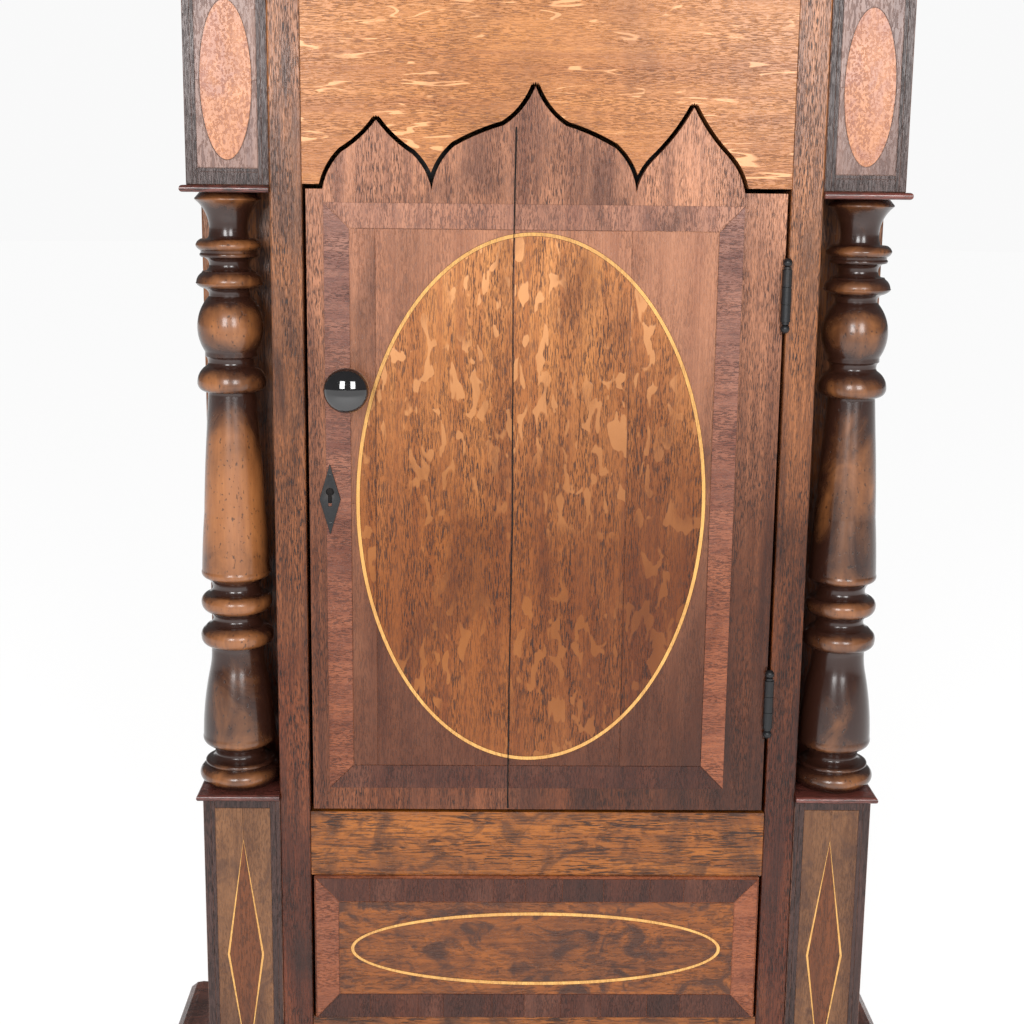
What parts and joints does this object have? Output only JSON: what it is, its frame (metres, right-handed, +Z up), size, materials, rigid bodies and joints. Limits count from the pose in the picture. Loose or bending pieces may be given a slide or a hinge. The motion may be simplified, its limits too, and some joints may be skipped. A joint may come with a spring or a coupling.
{
  "type": "longcase clock",
  "caption": "Tall oak and mahogany longcase clock with turned trunk columns, ogee-headed trunk door, glazed hood, painted arch dial, weights and long pendulum.",
  "frame": {"origin": "on the floor, under the middle of the clock's overall width and depth", "axes": "+Z up, the dial and the trunk door face -Y, +X to the right as seen from the front"},
  "size_m": [0.604, 0.28, 2.24],
  "materials": {
    "oak_front": "waxed figured oak with dark pores, satin",
    "oak_case": "dark waxed oak, satin",
    "mahogany": "red-brown mahogany, french polished",
    "turned_hardwood": "dark ebonised turning with worn chestnut edges, satin gloss",
    "pine_inner": "unfinished old pine",
    "black_iron": "japanned black iron",
    "black_knob": "polished black horn",
    "steel": "cut and polished steel",
    "blued_steel": "blued steel",
    "brass": "lacquered clock brass",
    "bell_metal": "cast bell metal, turned",
    "cast_iron": "black painted cast iron",
    "painted_dial": "cream painted iron with fine craquelure",
    "glass": "old clear glass",
    "gut": "twisted gut line"
  },
  "bodies": {
    "case": {"bracket_feet": "oak_case", "base_front": "oak_case", "base_sides": "oak_case", "base_boards": "pine_inner", "base_moulding": "mahogany", "trunk_back": "pine_inner", "trunk_sides": "oak_case", "trunk_stiles": "oak_front", "door_head_board": "oak_front", "trunk_rails": "oak_front", "lower_panel": "mahogany", "corner_blocks": "mahogany", "column_ledges": "mahogany", "trunk_columns": "turned_hardwood", "throat_moulding": "mahogany", "seatboard": "pine_inner", "trunk_hinge_case_leaves": "black_iron", "dial": "painted_dial", "movement_plates": "brass", "movement_pillars": "brass", "movement_brackets": "brass", "bell": "bell_metal"},
    "trunk_door": {"trunk_door_board": "oak_front", "trunk_hinge_door_leaves": "black_iron", "door_knob": "black_knob", "escutcheon": "black_iron", "lock_case": "black_iron"},
    "lock_bolt": {"lock_bolt": "steel"},
    "hood": {"hood_base_frame": "mahogany", "hood_carcase": "oak_case", "hood_mask": "oak_case", "hood_columns": "turned_hardwood", "cornice": "mahogany", "pediment": "mahogany", "pediment_brasses": "brass"},
    "hood_door": {"hood_door_frame": "mahogany", "hood_door_glass": "glass"},
    "centre": {"centre_wheel": "brass", "minute_hand": "blued_steel"},
    "hour": {"hour_wheel": "brass", "hour_hand": "blued_steel"},
    "motion": {"minute_wheel": "brass"},
    "going_great": {"going_great_wheel": "brass"},
    "third": {"third_wheel": "brass"},
    "escape": {"escape_wheel": "brass", "seconds_hand": "blued_steel"},
    "anchor": {"anchor": "steel"},
    "pendulum": {"pendulum_rod": "steel", "pendulum_bob": "brass"},
    "strike_great": {"strike_great_wheel": "brass"},
    "pin_wheel": {"pin_wheel": "brass"},
    "hammer": {"hammer": "steel"},
    "going_barrel": {"going_barrel": "brass"},
    "strike_barrel": {"strike_barrel": "brass"},
    "going_weight": {"going_weight": "cast_iron", "going_line": "gut"},
    "strike_weight": {"strike_weight": "cast_iron", "strike_line": "gut"},
    "going_pulley": {"going_pulley": "brass"},
    "strike_pulley": {"strike_pulley": "brass"}
  },
  "joints": [
    {"name": "trunk_door_hinge", "type": "hinge", "parent": "case", "child": "trunk_door", "pos_m": [0.15805, -0.0756, 1], "axis": [0, 0, 1], "range_deg": [0, 110]},
    {"name": "lock_bolt_slide", "type": "slide", "parent": "trunk_door", "child": "lock_bolt", "axis": [-1, 0, 0], "range_m": [0, 0.006]},
    {"name": "hood_slide", "type": "slide", "parent": "case", "child": "hood", "axis": [0, -1, 0], "range_m": [0, 0.3]},
    {"name": "hood_door_hinge", "type": "hinge", "parent": "hood", "child": "hood_door", "pos_m": [0.223, -0.098, 1.68], "axis": [0, 0, 1], "range_deg": [0, 105]},
    {"name": "hands_and_centre_wheel", "type": "hinge", "parent": "case", "child": "centre", "pos_m": [0, 0, 1.632], "axis": [0, 1, 0], "continuous": true},
    {"name": "hour_wheel_turn", "type": "hinge", "parent": "case", "child": "hour", "pos_m": [0, 0, 1.632], "axis": [0, 1, 0], "continuous": true},
    {"name": "minute_wheel_turn", "type": "hinge", "parent": "case", "child": "motion", "pos_m": [0.0135, 0, 1.60862], "axis": [0, 1, 0], "continuous": true},
    {"name": "going_great_wheel_turn", "type": "hinge", "parent": "case", "child": "going_great", "pos_m": [0.038, 0, 1.606], "axis": [0, 1, 0], "continuous": true},
    {"name": "third_wheel_turn", "type": "hinge", "parent": "case", "child": "third", "pos_m": [0.0115, 0, 1.65665], "axis": [0, 1, 0], "continuous": true},
    {"name": "escape_wheel_turn", "type": "hinge", "parent": "case", "child": "escape", "pos_m": [0, 0, 1.67907], "axis": [0, 1, 0], "continuous": true},
    {"name": "pendulum_swing", "type": "hinge", "parent": "case", "child": "pendulum", "pos_m": [0, 0.052, 1.716], "axis": [0, 1, 0], "range_deg": [-2.5, 2.5]},
    {"name": "anchor_rock", "type": "hinge", "parent": "case", "child": "anchor", "pos_m": [0, 0, 1.71], "axis": [0, 1, 0], "range_deg": [-2.7, 2.7]},
    {"name": "strike_great_wheel_turn", "type": "hinge", "parent": "case", "child": "strike_great", "pos_m": [-0.038, 0, 1.606], "axis": [0, 1, 0], "continuous": true},
    {"name": "pin_wheel_turn", "type": "hinge", "parent": "case", "child": "pin_wheel", "pos_m": [-0.0499, 0, 1.65048], "axis": [0, 1, 0], "continuous": true},
    {"name": "hammer_lift", "type": "hinge", "parent": "case", "child": "hammer", "pos_m": [-0.05, 0, 1.688], "axis": [0, 1, 0], "range_deg": [-8, 0], "stiffness_Nm_per_rad": 0.4, "springref_deg": 5.73},
    {"name": "going_weight_drop", "type": "slide", "parent": "case", "child": "going_weight", "axis": [0, 0, -1], "range_m": [-0.12, 0.75], "deforming": ["going_line"]},
    {"name": "going_barrel_turn", "type": "hinge", "parent": "case", "child": "going_barrel", "pos_m": [0.038, 0, 1.606], "axis": [0, 1, 0], "range_deg": [-667, 4137]},
    {"name": "going_pulley_turn", "type": "hinge", "parent": "going_weight", "child": "going_pulley", "pos_m": [0.0783, -0.012, 1.33], "axis": [0, 1, 0], "range_deg": [-2209, 358]},
    {"name": "strike_weight_drop", "type": "slide", "parent": "case", "child": "strike_weight", "axis": [0, 0, -1], "range_m": [-0.12, 0.75], "deforming": ["strike_line"]},
    {"name": "strike_barrel_turn", "type": "hinge", "parent": "case", "child": "strike_barrel", "pos_m": [-0.038, 0, 1.606], "axis": [0, 1, 0], "range_deg": [-4137, 667]},
    {"name": "strike_pulley_turn", "type": "hinge", "parent": "strike_weight", "child": "strike_pulley", "pos_m": [-0.0783, -0.012, 1.33], "axis": [0, 1, 0], "range_deg": [-358, 2209]}
  ],
  "couplings": [
    {"joint": "hour_wheel_turn", "follows": "hands_and_centre_wheel", "ratio": 0.083333},
    {"joint": "minute_wheel_turn", "follows": "hands_and_centre_wheel", "ratio": -1},
    {"joint": "going_great_wheel_turn", "follows": "hands_and_centre_wheel", "ratio": -0.083333},
    {"joint": "third_wheel_turn", "follows": "hands_and_centre_wheel", "ratio": -7.5},
    {"joint": "escape_wheel_turn", "follows": "hands_and_centre_wheel", "ratio": 60},
    {"joint": "anchor_rock", "follows": "pendulum_swing", "ratio": 1},
    {"joint": "pin_wheel_turn", "follows": "strike_great_wheel_turn", "ratio": -12},
    {"joint": "going_barrel_turn", "follows": "going_weight_drop", "rad_per_m": 96.154},
    {"joint": "going_pulley_turn", "follows": "going_weight_drop", "rad_per_m": -51.282},
    {"joint": "strike_barrel_turn", "follows": "strike_weight_drop", "rad_per_m": -96.154},
    {"joint": "strike_pulley_turn", "follows": "strike_weight_drop", "rad_per_m": 51.282}
  ]
}
